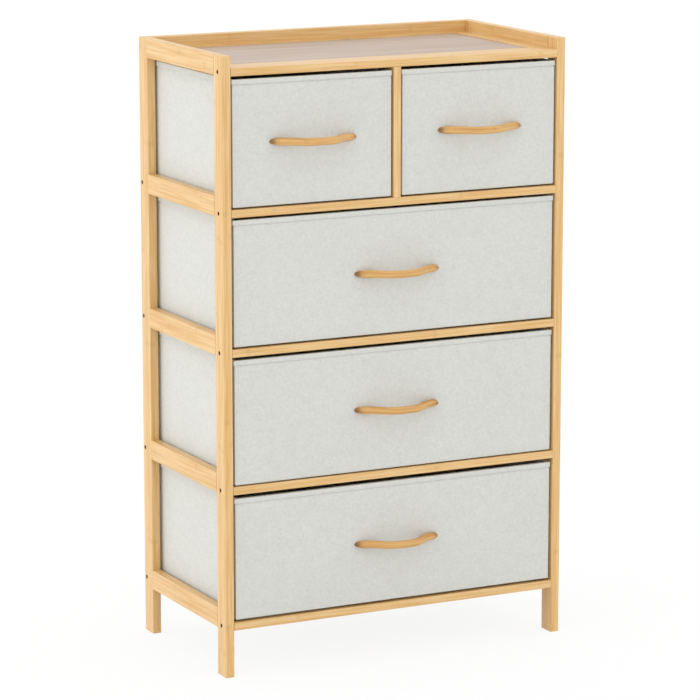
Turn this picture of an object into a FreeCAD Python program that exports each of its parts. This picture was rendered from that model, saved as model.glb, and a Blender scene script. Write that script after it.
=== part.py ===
import FreeCAD, Part
import math
import os
import re
import Sketcher

# Chest of drawers: an open frame of wooden bars that carries five stiffened fabric drawers.
# Millimetres. X runs left to right, Y front to back and Z up. The origin is on the floor, midway
# across the width and midway between the fronts of the handles and the back of the frame.

SIZES = {
    # Frame
    "overall_width": 570,
    "overall_depth": 300,
    "foot_clearance": 71,
    "opening_height": 194.5,
    "gallery_height": 18,
    "leg_thickness": 14,
    "leg_depth": 30,
    "side_rail_height": 30,
    "front_rail_height": 12,
    "front_rail_depth": 32,
    "rear_rail_height": 30,
    "rear_rail_thickness": 14,
    "post_width": 12,
    "edge_round": 1.6,
    "leg_top_chamfer": 1,
    # Tenons and frame screws
    "tenon_length": 8,
    "tenon_thickness": 6,
    "tenon_shoulder": 6,
    "tenon_clearance": 0.1,
    "post_tenon_length": 5,
    "screw_diameter": 6.6,
    "screw_clearance": 0.2,
    "screw_length": 42,
    "screw_sink": 1,
    "screw_facets": 10,
    # Top: strips round a panel that is let in on a ledge
    "front_strip_depth": 44,
    "side_strip_width": 25,
    "back_strip_width": 11,
    "ledge_width": 8,
    "panel_thickness": 6,
    "panel_recess": 1.2,
    "panel_gap": 0.4,
    # Runners
    "runner_width": 14,
    "runner_lift": 1.5,
    "centre_runner_width": 40,
    "guide_height": 16,
    # Drawers
    "drawer_recess": 3,
    "drawer_side_gap": 1.6,
    "drawer_top_gap": 4,
    "drawer_back_gap": 0.5,
    "slide_clearance": 0.3,
    "wall_thickness": 3,
    "floor_thickness": 2,
    "corner_round": 2.4,
    "hem_height": 9,
    "hem_proud": 0.9,
    "board_thickness": 3,
    "board_gap": 0.6,
    # Handles
    "handle_length": 141,
    "handle_thickness": 11.5,
    "handle_rise": 31,
    "grip_length": 38,
    "shoulder_reach": 9,
    "shoulder_drop": 2.8,
    "handle_hole_spacing": 128,
    "handle_screw_diameter": 4,
    "handle_screw_clearance": 0.2,
    "handle_screw_depth": 8,
    "screw_head_diameter": 9,
    "screw_head_height": 2.4,
}

DRAWER_ROWS = 4
TOP_LEVEL = DRAWER_ROWS
SIDES = ("left", "right")
NEAR = 1e-4

# Derived sizes and places, as expressions on the sheet
LEFT = "(-overall_width / 2)"
RIGHT = "(overall_width / 2)"
INNER_LEFT = f"({LEFT} + leg_thickness)"
CLEAR_WIDTH = "(overall_width - 2 * leg_thickness)"
HANDLE_REACH = "(handle_rise + handle_thickness / 2 - drawer_recess)"
FRONT = f"(({HANDLE_REACH} - overall_depth) / 2)"
BACK = f"(({HANDLE_REACH} + overall_depth) / 2)"
PITCH = "(front_rail_height + opening_height)"
GALLERY_RAIL_HEIGHT = "(front_rail_height + gallery_height)"
SCREW_HOLE = "(screw_diameter + 2 * screw_clearance)"
SCREW_BITE = "(screw_length + screw_sink + screw_clearance - leg_thickness)"
POST_TENON_DEPTH = "(front_rail_depth - tenon_length - 2 * tenon_shoulder)"
RUNNER_TENON_WIDTH = "(centre_runner_width - 2 * tenon_shoulder)"
RUNNER_LENGTH = "(overall_depth - front_rail_depth - rear_rail_thickness)"
RUNNER_HEIGHT = "(front_rail_height + runner_lift)"
LEDGE_HEIGHT = "(front_rail_height - panel_recess - panel_thickness)"
TRAY_DEPTH = "(overall_depth - front_strip_depth - back_strip_width - rear_rail_thickness)"
DRAWER_MARGIN = "(drawer_side_gap + hem_proud)"
DRAWER_LIFT = "(runner_lift + slide_clearance)"
DRAWER_HEIGHT = f"(opening_height - {DRAWER_LIFT} - drawer_top_gap)"
DRAWER_DEPTH = "(overall_depth - drawer_recess - rear_rail_thickness - drawer_back_gap)"
DRAWER_FRONT = f"({FRONT} + drawer_recess)"
DRAWER_SIDE_LENGTH = f"({DRAWER_DEPTH} - 2 * wall_thickness)"
HEM_BOTTOM = f"({DRAWER_HEIGHT} - hem_height)"
HEM_THICKNESS = "(wall_thickness + hem_proud)"
HALF_OPENING = f"(({CLEAR_WIDTH} - post_width) / 2)"
HANDLE_HOLE = "(handle_screw_diameter + 2 * handle_screw_clearance)"


def level_bottom(level):
    return f"(foot_clearance + {level} * {PITCH})"


def level_top(level):
    return f"({level_bottom(level)} + front_rail_height)"


FRAME_HEIGHT = f"({level_top(TOP_LEVEL)} + gallery_height)"

doc = FreeCAD.newDocument("chest_of_drawers")
sheet = doc.addObject("Spreadsheet::Sheet", "Sizes")
for row, (alias, number) in enumerate(SIZES.items(), 1):
    sheet.set(f"A{row}", alias)
    sheet.set(f"B{row}", str(number))
    sheet.setAlias(f"B{row}", alias)
doc.recompute()

TURN = {
    "x": FreeCAD.Rotation(FreeCAD.Vector(0, 1, 0), 90),
    "y": FreeCAD.Rotation(FreeCAD.Vector(1, 0, 0), -90),
    "z": FreeCAD.Rotation(),
}
nodes = []


# Helpers

def on_sheet(expression):
    """The expression with each size's name pointed at its cell."""
    return re.sub(r"[a-z_]+", lambda word: f"Sizes.{word.group()}", expression)


def value(expression):
    return float(sheet.evalExpression(on_sheet(expression)))


def bind(thing, **expressions):
    for name, expression in expressions.items():
        thing.setExpression(name, on_sheet(expression))


def place(thing, x, y, z, axis="z"):
    """Put a thing at a point, with its own Z turned to the given axis."""
    thing.Placement = FreeCAD.Placement(FreeCAD.Vector(), TURN[axis])
    for way, expression in zip("xyz", (x, y, z)):
        thing.setExpression(f"Placement.Base.{way}", on_sheet(expression))


def node(thing, label):
    thing.Label = label
    nodes.append(thing)


def new_body(name, x, y, z):
    body = doc.addObject("PartDesign::Body", name)
    place(body, x, y, z)
    return body


def origin_plane(body, role):
    return next(feature for feature in body.Origin.OriginFeatures if feature.Role == role)


def new_sketch(body, name, role):
    sketch = body.newObject("Sketcher::SketchObject", name)
    sketch.AttachmentSupport = (origin_plane(body, role), [""])
    sketch.MapMode = "FlatFace"
    return sketch


def hold(sketch, kind, *where, at):
    """A dimension of the sketch, bound to an expression."""
    index = sketch.addConstraint(Sketcher.Constraint(kind, *where, value(at)))
    sketch.setExpression(f"Constraints[{index}]", on_sheet(at))


def polygon(sketch, corners):
    """A closed outline through corners that are pairs of expressions."""
    points = [FreeCAD.Vector(value(x), value(y), 0) for x, y in corners]
    followers = points[1:] + points[:1]
    lines = [sketch.addGeometry(Part.LineSegment(*ends)) for ends in zip(points, followers)]
    for line, following in zip(lines, lines[1:] + lines[:1]):
        sketch.addConstraint(Sketcher.Constraint("Coincident", line, 2, following, 1))
    for line, (x, y) in zip(lines, corners):
        hold(sketch, "DistanceX", -1, 1, line, 1, at=x)
        hold(sketch, "DistanceY", -1, 1, line, 1, at=y)


def pad(body, name, role, corners, length):
    sketch = new_sketch(body, f"{name}_outline", role)
    polygon(sketch, corners)
    feature = body.newObject("PartDesign::Pad", name)
    feature.Profile = sketch
    bind(feature, Length=length)
    doc.recompute()
    return feature


def block(body, name, width, depth, height):
    """A box that stands on the body's origin."""
    corners = [("0", "0"), (width, "0"), (width, depth), ("0", depth)]
    return pad(body, name, "XY_Plane", corners, height)


def box(body, name, kind, corner, size):
    """A box added to the body or cut from it; kind is Additive or Subtractive."""
    feature = body.newObject(f"PartDesign::{kind}Box", name)
    bind(feature, Length=size[0], Width=size[1], Height=size[2])
    place(feature, *corner)
    return feature


def mortise(body, name, corner, size):
    """A pocket for a tenon with its corner and size, with clearance all round."""
    roomy = [f"({edge} - tenon_clearance)" for edge in corner]
    larger = [f"({length} + 2 * tenon_clearance)" for length in size]
    return box(body, name, "Subtractive", roomy, larger)


def drill(body, name, axis, start, diameter, depth):
    """A many-sided hole from a point along an axis."""
    hole = body.newObject("PartDesign::SubtractivePrism", name)
    bind(hole, Polygon="screw_facets", Circumradius=f"{diameter} / 2", Height=depth)
    place(hole, *start, axis)
    return hole


def edges_along(shape, axis, **faces):
    """Names of the edges along an axis that lie on given faces of the shape's box, such as y='min'."""
    extent = shape.BoundBox
    limits = {
        "x": {"min": extent.XMin, "max": extent.XMax},
        "y": {"min": extent.YMin, "max": extent.YMax},
        "z": {"min": extent.ZMin, "max": extent.ZMax},
    }
    names = []
    for number, edge in enumerate(shape.Edges, 1):
        if edge.Degenerated:
            continue
        direction = edge.tangentAt(edge.FirstParameter)
        middle = edge.CenterOfMass
        parallel = abs(getattr(direction, axis)) > 1 - NEAR
        gaps = [abs(getattr(middle, way) - limits[way][end]) for way, end in faces.items()]
        if parallel and all(gap < NEAR for gap in gaps):
            names.append(f"Edge{number}")
    return names


def edges_at_top(shape):
    """Names of the edges round the top face."""
    top = shape.BoundBox.ZMax
    return [f"Edge{number}" for number, edge in enumerate(shape.Edges, 1) if edge.BoundBox.ZMin > top - NEAR]


def soften(body, base, edges, radius="edge_round"):
    fillet = body.newObject("PartDesign::Fillet", f"{base.Name}_softened")
    fillet.Base = (base, edges)
    bind(fillet, Radius=radius)
    doc.recompute()
    return fillet


def rod(name, axis, start, diameter, length):
    """A many-sided rod that goes with drill."""
    prism = doc.addObject("Part::Prism", name)
    bind(prism, Polygon="screw_facets", Circumradius=f"{diameter} / 2", Height=length)
    place(prism, *start, axis)
    return prism


def group(label, members):
    compound = doc.addObject("Part::Compound", label)
    compound.Links = members
    node(compound, label)


# Legs, with a mortise for each side rail and a hole for each frame screw

def side_tenon(height):
    """Bottom and height of the tenon on a side rail; it lies above the line of the front screws."""
    return "front_rail_height", f"({height} - front_rail_height - tenon_shoulder)"


def rail_height(level):
    return GALLERY_RAIL_HEIGHT if level == TOP_LEVEL else "side_rail_height"


def gallery_tenon():
    """Corner (from the rail's end, back and bottom) and size of the back gallery rail's tenon."""
    bottom, height = side_tenon(GALLERY_RAIL_HEIGHT)
    return "((rear_rail_thickness - tenon_thickness) / 2)", bottom, height


def leg(side, end):
    at_x = LEFT if side == "left" else f"({RIGHT} - leg_thickness)"
    at_y = FRONT if end == "front" else f"({BACK} - leg_depth)"
    body = new_body("leg", at_x, at_y, "0")
    blank = block(body, "leg_bar", "leg_thickness", "leg_depth", FRAME_HEIGHT)
    bar = soften(body, blank, edges_along(blank.Shape, "z"))
    chamfer = body.newObject("PartDesign::Chamfer", "eased_top")
    chamfer.Base = (bar, edges_at_top(bar.Shape))
    bind(chamfer, Size="leg_top_chamfer")

    tenon_x = "((leg_thickness - tenon_thickness) / 2)"
    tenon_y = "(leg_depth - tenon_length)" if end == "front" else "0"
    for level in range(TOP_LEVEL + 1):
        bottom, height = side_tenon(rail_height(level))
        corner = (tenon_x, tenon_y, f"({level_bottom(level)} + {bottom})")
        mortise(body, "rail_mortise", corner, ("tenon_thickness", "tenon_length", height))

    if end == "front":
        screw_y = "front_rail_depth / 2"
        screw_levels = range(TOP_LEVEL + 1)
        screw_rise = "front_rail_height / 2"
    else:
        screw_y = "leg_depth - rear_rail_thickness / 2"
        screw_levels = range(TOP_LEVEL)
        screw_rise = "rear_rail_height / 2"
        inset, bottom, height = gallery_tenon()
        tenon_x = "(leg_thickness - tenon_length)" if side == "left" else "0"
        tenon_y = f"(leg_depth - rear_rail_thickness + {inset})"
        corner = (tenon_x, tenon_y, f"({level_bottom(TOP_LEVEL)} + {bottom})")
        mortise(body, "gallery_mortise", corner, ("tenon_length", "tenon_thickness", height))
    for level in screw_levels:
        start = ("0", screw_y, f"{level_bottom(level)} + {screw_rise}")
        drill(body, "screw_hole", "x", start, SCREW_HOLE, "leg_thickness")
    node(body, f"leg_{end}_{side}")


# Side rails, tenoned into the legs; the top pair are the sides of the gallery

def side_rail(side, level):
    at_x = LEFT if side == "left" else f"({RIGHT} - leg_thickness)"
    length = "(overall_depth - 2 * leg_depth)"
    height = rail_height(level)
    body = new_body("side_rail", at_x, f"{FRONT} + leg_depth", level_bottom(level))
    blank = block(body, "side_rail_bar", "leg_thickness", length, height)
    outer, inner = ("min", "max") if side == "left" else ("max", "min")
    edges = edges_along(blank.Shape, "y", x=outer)
    if level == TOP_LEVEL:
        edges += edges_along(blank.Shape, "y", x=inner, z="max")
    soften(body, blank, edges)
    bottom, tenon_height = side_tenon(height)
    for start in ("-tenon_length", length):
        corner = ("(leg_thickness - tenon_thickness) / 2", start, bottom)
        box(body, "tenon", "Additive", corner, ("tenon_thickness", "tenon_length", tenon_height))
    node(body, f"side_rail_{side}_{level + 1}")


# Front and rear rails, each held by a screw at either end

def screw_bores(body, y, z):
    for start in ("0", f"({CLEAR_WIDTH} - {SCREW_BITE})"):
        drill(body, "screw_bore", "x", (start, y, z), SCREW_HOLE, SCREW_BITE)


def runner_mortise(body, y):
    corner = (
        f"(({CLEAR_WIDTH} - {RUNNER_TENON_WIDTH}) / 2)",
        y,
        "((front_rail_height - tenon_thickness) / 2)",
    )
    mortise(body, "runner_mortise", corner, (RUNNER_TENON_WIDTH, "tenon_length", "tenon_thickness"))


def post_mortise(body, z):
    corner = (f"(({CLEAR_WIDTH} - tenon_thickness) / 2)", "tenon_shoulder", z)
    mortise(body, "post_mortise", corner, ("tenon_thickness", POST_TENON_DEPTH, "post_tenon_length"))


def front_rail(level):
    body = new_body("front_rail", INNER_LEFT, FRONT, level_bottom(level))
    blank = block(body, "front_rail_bar", CLEAR_WIDTH, "front_rail_depth", "front_rail_height")
    soften(body, blank, edges_along(blank.Shape, "x", y="min"))
    screw_bores(body, "front_rail_depth / 2", "front_rail_height / 2")
    runner_mortise(body, "(front_rail_depth - tenon_length)")
    if level == TOP_LEVEL - 1:
        post_mortise(body, "(front_rail_height - post_tenon_length)")
    node(body, f"front_rail_{level + 1}")


def rear_rail(level):
    body = new_body("rear_rail", INNER_LEFT, f"{BACK} - rear_rail_thickness", level_bottom(level))
    blank = block(body, "rear_rail_bar", CLEAR_WIDTH, "rear_rail_thickness", "rear_rail_height")
    soften(body, blank, edges_along(blank.Shape, "x", y="max"))
    screw_bores(body, "rear_rail_thickness / 2", "rear_rail_height / 2")
    runner_mortise(body, "0")
    node(body, f"rear_rail_{level + 1}")


# Top: a front rail and strips with a ledge, the panel that lies on it, and the back of the gallery

def top_front_rail():
    body = new_body("top_front_rail", INNER_LEFT, FRONT, level_bottom(TOP_LEVEL))
    full_depth = "(front_strip_depth + ledge_width)"
    corners = [
        ("0", "0"),
        (full_depth, "0"),
        (full_depth, LEDGE_HEIGHT),
        ("front_strip_depth", LEDGE_HEIGHT),
        ("front_strip_depth", "front_rail_height"),
        ("0", "front_rail_height"),
    ]
    blank = pad(body, "top_front_rail_bar", "YZ_Plane", corners, CLEAR_WIDTH)
    soften(body, blank, edges_along(blank.Shape, "x", y="min"))
    screw_bores(body, "front_rail_depth / 2", "front_rail_height / 2")
    post_mortise(body, "0")
    node(body, "top_front_rail")


def top_strip_back():
    full_depth = "(back_strip_width + ledge_width)"
    at_y = f"{BACK} - rear_rail_thickness - {full_depth}"
    body = new_body("top_strip_back", INNER_LEFT, at_y, level_bottom(TOP_LEVEL))
    corners = [
        ("0", "0"),
        (full_depth, "0"),
        (full_depth, "front_rail_height"),
        ("ledge_width", "front_rail_height"),
        ("ledge_width", LEDGE_HEIGHT),
        ("0", LEDGE_HEIGHT),
    ]
    pad(body, "back_strip_bar", "YZ_Plane", corners, CLEAR_WIDTH)
    node(body, "top_strip_back")


def top_strip_side(side):
    """A strip whose upper half laps over the ledges of the front rail and the back strip."""
    full_width = "(side_strip_width + ledge_width)"
    length = f"({TRAY_DEPTH} - 2 * ledge_width)"
    at_x = INNER_LEFT if side == "left" else f"({RIGHT} - leg_thickness - {full_width})"
    at_y = f"{FRONT} + front_strip_depth + ledge_width"
    body = new_body("top_strip", at_x, at_y, level_bottom(TOP_LEVEL))
    block(body, "strip_with_ledge", full_width, length, LEDGE_HEIGHT)
    lap_x = "0" if side == "left" else "ledge_width"
    lap_height = f"(front_rail_height - {LEDGE_HEIGHT})"
    corner = (lap_x, "-ledge_width", LEDGE_HEIGHT)
    box(body, "lapped_face", "Additive", corner, ("side_strip_width", TRAY_DEPTH, lap_height))
    node(body, f"top_strip_{side}")


def top_panel():
    body = new_body(
        "top_panel",
        f"{INNER_LEFT} + side_strip_width + panel_gap",
        f"{FRONT} + front_strip_depth + panel_gap",
        f"{level_bottom(TOP_LEVEL)} + {LEDGE_HEIGHT}",
    )
    width = f"({CLEAR_WIDTH} - 2 * side_strip_width - 2 * panel_gap)"
    block(body, "panel_board", width, f"({TRAY_DEPTH} - 2 * panel_gap)", "panel_thickness")
    node(body, "top_panel")


def back_gallery_rail():
    at_y = f"{BACK} - rear_rail_thickness"
    body = new_body("back_gallery_rail", INNER_LEFT, at_y, level_bottom(TOP_LEVEL))
    blank = block(body, "gallery_bar", CLEAR_WIDTH, "rear_rail_thickness", GALLERY_RAIL_HEIGHT)
    edges = edges_along(blank.Shape, "x", y="max")
    edges += edges_along(blank.Shape, "x", y="min", z="max")
    soften(body, blank, edges)
    inset, bottom, height = gallery_tenon()
    for start in ("-tenon_length", CLEAR_WIDTH):
        box(body, "tenon", "Additive", (start, inset, bottom), ("tenon_length", "tenon_thickness", height))
    node(body, "back_gallery_rail")


# The post between the two small drawers, and the runners that all the drawers slide on

def centre_post():
    body = new_body("centre_post", "-post_width / 2", FRONT, level_top(TOP_LEVEL - 1))
    blank = block(body, "post_bar", "post_width", "front_rail_depth", "opening_height")
    soften(body, blank, edges_along(blank.Shape, "z", y="min"))
    for start in ("-post_tenon_length", "opening_height"):
        corner = ("(post_width - tenon_thickness) / 2", "tenon_shoulder", start)
        box(body, "tenon", "Additive", corner, ("tenon_thickness", POST_TENON_DEPTH, "post_tenon_length"))
    node(body, "centre_post")


def side_runners(level):
    runners = []
    for side in SIDES:
        at_x = INNER_LEFT if side == "left" else f"({RIGHT} - leg_thickness - runner_width)"
        body = new_body("side_runner", at_x, f"{FRONT} + front_rail_depth", level_bottom(level))
        block(body, "side_runner_bar", "runner_width", RUNNER_LENGTH, RUNNER_HEIGHT)
        runners.append(body)
    group(f"side_runners_{level + 1}", runners)


def centre_runner(level):
    at_x = "-centre_runner_width / 2"
    body = new_body("centre_runner", at_x, f"{FRONT} + front_rail_depth", level_bottom(level))
    block(body, "centre_runner_bar", "centre_runner_width", RUNNER_LENGTH, RUNNER_HEIGHT)
    for start in ("-tenon_length", RUNNER_LENGTH):
        corner = ("tenon_shoulder", start, "(front_rail_height - tenon_thickness) / 2")
        box(body, "tenon", "Additive", corner, (RUNNER_TENON_WIDTH, "tenon_length", "tenon_thickness"))
    if level == TOP_LEVEL - 1:
        corner = ("(centre_runner_width - post_width) / 2", "0", RUNNER_HEIGHT)
        box(body, "guide_rib", "Additive", corner, ("post_width", RUNNER_LENGTH, "guide_height"))
    node(body, f"centre_runner_{level + 1}")


def frame_screws():
    rows = [
        (f"{FRONT} + front_rail_depth / 2", "front_rail_height / 2", range(TOP_LEVEL + 1)),
        (f"{BACK} - rear_rail_thickness / 2", "rear_rail_height / 2", range(TOP_LEVEL)),
    ]
    starts = {
        "left": f"{LEFT} + screw_sink",
        "right": f"{RIGHT} - screw_sink - screw_length",
    }
    screws = []
    for at_y, rise, levels in rows:
        for level in levels:
            for side in SIDES:
                start = (starts[side], at_y, f"{level_bottom(level)} + {rise}")
                screws.append(rod("frame_screw", "x", start, "screw_diameter", "screw_length"))
    group("frame_screws", screws)


# Drawers: a stiffened fabric box with a folded hem, a loose base board, and a bow handle

def drawer_end(end, corner, width):
    """The front or back wall, with rounded upright edges, its stretch of hem and any handle holes."""
    x, y, z = corner
    front = end == "front"
    at_y = y if front else f"{y} + {DRAWER_DEPTH} - wall_thickness"
    outer = "min" if front else "max"
    body = new_body("drawer_end", x, at_y, z)
    wall = block(body, "end_wall", width, "wall_thickness", DRAWER_HEIGHT)
    soften(body, wall, edges_along(wall.Shape, "z", y=outer), "corner_round")
    hem_corner = ("-hem_proud", "-hem_proud" if front else "0", HEM_BOTTOM)
    hem_size = (f"({width} + 2 * hem_proud)", HEM_THICKNESS, "hem_height")
    hem = box(body, "end_hem", "Additive", hem_corner, hem_size)
    doc.recompute()
    corners = edges_along(hem.Shape, "z", x="min", y=outer) + edges_along(hem.Shape, "z", x="max", y=outer)
    soften(body, hem, corners, "corner_round + hem_proud")
    for way in ("-", "+") if front else ():
        start = (f"{width} / 2 {way} handle_hole_spacing / 2", "0", f"{DRAWER_HEIGHT} / 2")
        drill(body, "handle_hole", "y", start, HANDLE_HOLE, "wall_thickness")
    return body


def drawer_side(side, corner, width):
    """A side wall between the two end walls, with its stretch of hem."""
    x, y, z = corner
    left = side == "left"
    at_x = x if left else f"{x} + {width} - wall_thickness"
    body = new_body("drawer_side", at_x, f"{y} + wall_thickness", z)
    block(body, "side_wall", "wall_thickness", DRAWER_SIDE_LENGTH, DRAWER_HEIGHT)
    hem_corner = ("-hem_proud" if left else "0", "0", HEM_BOTTOM)
    box(body, "side_hem", "Additive", hem_corner, (HEM_THICKNESS, DRAWER_SIDE_LENGTH, "hem_height"))
    return body


def drawer_box(name, corner, width):
    """Cloth-covered boards sewn edge to edge into an open box: two ends, two sides and a floor."""
    x, y, z = corner
    panels = [drawer_end(end, corner, width) for end in ("front", "back")]
    panels += [drawer_side(side, corner, width) for side in SIDES]
    floor = new_body("drawer_floor", f"{x} + wall_thickness", f"{y} + wall_thickness", z)
    block(floor, "floor_board", f"({width} - 2 * wall_thickness)", DRAWER_SIDE_LENGTH, "floor_thickness")
    group(f"drawer_box_{name}", panels + [floor])


def base_board(name, corner, width):
    inset = "(wall_thickness + board_gap)"
    x, y, z = corner
    body = new_body("base_board", f"{x} + {inset}", f"{y} + {inset}", f"{z} + floor_thickness")
    block(body, "board", f"({width} - 2 * {inset})", f"({DRAWER_DEPTH} - 2 * {inset})", "board_thickness")
    node(body, f"base_board_{name}")


def handle_path(body):
    """Half of the bow's centre line: the grip, a shoulder and an arm that runs down to the face."""
    path = new_sketch(body, "bow_path", "XY_Plane")
    stops = [
        ("0", "-handle_rise"),
        ("grip_length / 2", "-handle_rise"),
        ("grip_length / 2 + shoulder_reach", "shoulder_drop - handle_rise"),
        ("handle_length / 2", "0"),
    ]
    points = [FreeCAD.Vector(value(x), value(y), 0) for x, y in stops]
    lines = [path.addGeometry(Part.LineSegment(*ends)) for ends in zip(points, points[1:])]
    for line, following in zip(lines, lines[1:]):
        path.addConstraint(Sketcher.Constraint("Coincident", line, 2, following, 1))
    for line, (x, y) in zip(lines, stops):
        hold(path, "DistanceX", -1, 1, line, 1, at=x)
        hold(path, "DistanceY", -1, 1, line, 1, at=y)
    hold(path, "DistanceX", -1, 1, lines[-1], 2, at=stops[-1][0])
    hold(path, "DistanceY", -1, 1, lines[-1], 2, at=stops[-1][1])
    return path


def handle_end_trim(body):
    """The space round a pill outline, seen from the front, which rounds the handle's two ends."""
    trim = new_sketch(body, "end_outline", "XZ_Plane")
    outer_x = "handle_length"
    outer_z = "handle_thickness"
    polygon(trim, [
        (f"-{outer_x}", f"-{outer_z}"),
        (outer_x, f"-{outer_z}"),
        (outer_x, outer_z),
        (f"-{outer_x}", outer_z),
    ])
    radius = value("handle_thickness / 2")
    reach = value("(handle_length - handle_thickness) / 2")
    up = FreeCAD.Vector(0, 0, 1)
    right_round = Part.Circle(FreeCAD.Vector(reach, 0, 0), up, radius)
    left_round = Part.Circle(FreeCAD.Vector(-reach, 0, 0), up, radius)
    low = Part.LineSegment(FreeCAD.Vector(-reach, -radius, 0), FreeCAD.Vector(reach, -radius, 0))
    high = Part.LineSegment(FreeCAD.Vector(reach, radius, 0), FreeCAD.Vector(-reach, radius, 0))
    pill = [
        trim.addGeometry(low),
        trim.addGeometry(Part.ArcOfCircle(right_round, -math.pi / 2, math.pi / 2)),
        trim.addGeometry(high),
        trim.addGeometry(Part.ArcOfCircle(left_round, math.pi / 2, 3 * math.pi / 2)),
    ]
    for piece, following in zip(pill, pill[1:] + pill[:1]):
        trim.addConstraint(Sketcher.Constraint("Tangent", piece, 2, following, 1))
    trim.addConstraint(Sketcher.Constraint("Symmetric", pill[1], 3, pill[3], 3, -1, 1))
    trim.addConstraint(Sketcher.Constraint("PointOnObject", pill[1], 3, -1))
    hold(trim, "DistanceX", -1, 1, pill[1], 3, at="(handle_length - handle_thickness) / 2")
    hold(trim, "Radius", pill[1], at="handle_thickness / 2")
    return trim


def handle(name, at_x, at_z):
    body = new_body("handle", at_x, DRAWER_FRONT, at_z)
    path = handle_path(body)
    section = new_sketch(body, "bow_section", "YZ_Plane")
    middle = FreeCAD.Vector(-value("handle_rise"), 0, 0)
    radius = value("handle_thickness / 2")
    ring = section.addGeometry(Part.Circle(middle, FreeCAD.Vector(0, 0, 1), radius))
    section.addConstraint(Sketcher.Constraint("PointOnObject", ring, 3, -1))
    hold(section, "DistanceX", ring, 3, -1, 1, at="handle_rise")
    hold(section, "Diameter", ring, at="handle_thickness")
    doc.recompute()

    half = body.newObject("PartDesign::AdditivePipe", "half_bow")
    half.Profile = section
    half.Spine = (path, [f"Edge{number}" for number in range(1, len(path.Shape.Edges) + 1)])
    half.Transition = "Right corner"
    both = body.newObject("PartDesign::Mirrored", "whole_bow")
    both.Originals = [half]
    both.MirrorPlane = (origin_plane(body, "YZ_Plane"), [""])
    body.Tip = both

    behind = ("-handle_length", "0", "-handle_thickness")
    box(body, "flat_feet", "Subtractive", behind, ("2 * handle_length", "handle_rise", "2 * handle_thickness"))
    trim = handle_end_trim(body)
    doc.recompute()
    untrimmed = body.Shape.Volume
    ends = body.newObject("PartDesign::Pocket", "rounded_ends")
    ends.Profile = trim
    ends.Type = "ThroughAll"
    ends.Midplane = True
    doc.recompute()
    if body.Shape.Volume >= untrimmed:
        raise RuntimeError("the handle's ends were not rounded")

    for way in ("-", "+"):
        bore = "(handle_screw_depth + handle_screw_clearance)"
        start = (f"{way}handle_hole_spacing / 2", f"-{bore}", "0")
        drill(body, "screw_bore", "y", start, HANDLE_HOLE, bore)
    node(body, f"handle_{name}")


def handle_screws(name, at_x, at_z):
    screws = []
    for way in ("-", "+"):
        x = f"{at_x} {way} handle_hole_spacing / 2"
        tip = (x, f"{DRAWER_FRONT} - handle_screw_depth", at_z)
        seat = (x, f"{DRAWER_FRONT} + wall_thickness", at_z)
        length = "handle_screw_depth + wall_thickness"
        screw = doc.addObject("Part::Fuse", "handle_screw")
        screw.Base = rod("screw_shank", "y", tip, "handle_screw_diameter", length)
        screw.Tool = rod("screw_head", "y", seat, "screw_head_diameter", "screw_head_height")
        screws.append(screw)
    group(f"handle_screws_{name}", screws)


def drawer(name, level, opening_left, opening_width):
    width = f"({opening_width} - 2 * {DRAWER_MARGIN})"
    x = f"({opening_left} + {DRAWER_MARGIN})"
    z = f"({level_top(level)} + {DRAWER_LIFT})"
    middle_x = f"({opening_left} + {opening_width} / 2)"
    middle_z = f"({z} + {DRAWER_HEIGHT} / 2)"
    drawer_box(name, (x, DRAWER_FRONT, z), width)
    base_board(name, (x, DRAWER_FRONT, z), width)
    handle(name, middle_x, middle_z)
    handle_screws(name, middle_x, middle_z)


# Assembly

for leg_end in ("front", "rear"):
    for leg_side in SIDES:
        leg(leg_side, leg_end)
for rail_side in SIDES:
    for rail_level in range(TOP_LEVEL + 1):
        side_rail(rail_side, rail_level)
for row_level in range(DRAWER_ROWS):
    front_rail(row_level)
    rear_rail(row_level)
    side_runners(row_level)
    centre_runner(row_level)
top_front_rail()
top_strip_back()
for strip_side in SIDES:
    top_strip_side(strip_side)
top_panel()
back_gallery_rail()
centre_post()
frame_screws()
for row_level, row_name in enumerate(("bottom", "lower", "upper")):
    drawer(row_name, row_level, INNER_LEFT, CLEAR_WIDTH)
drawer("top_left", TOP_LEVEL - 1, INNER_LEFT, HALF_OPENING)
drawer("top_right", TOP_LEVEL - 1, "(post_width / 2)", HALF_OPENING)

# Checks and export

doc.recompute()
for thing in doc.Objects:
    if {"Invalid", "Error"} & set(thing.State):
        raise RuntimeError(f"{thing.Label} failed: {thing.State}")
for piece in nodes:
    if piece.Shape.isNull() or not piece.Shape.isValid() or not piece.Shape.Solids:
        raise RuntimeError(f"{piece.Label} has no valid solid")
os.makedirs("parts", exist_ok=True)
for piece in nodes:
    piece.Shape.exportStep(f"parts/{piece.Label}.step")
print(f"{len(nodes)} nodes written")
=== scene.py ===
import math

import bmesh
import bpy
from mathutils import Matrix, Vector


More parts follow.
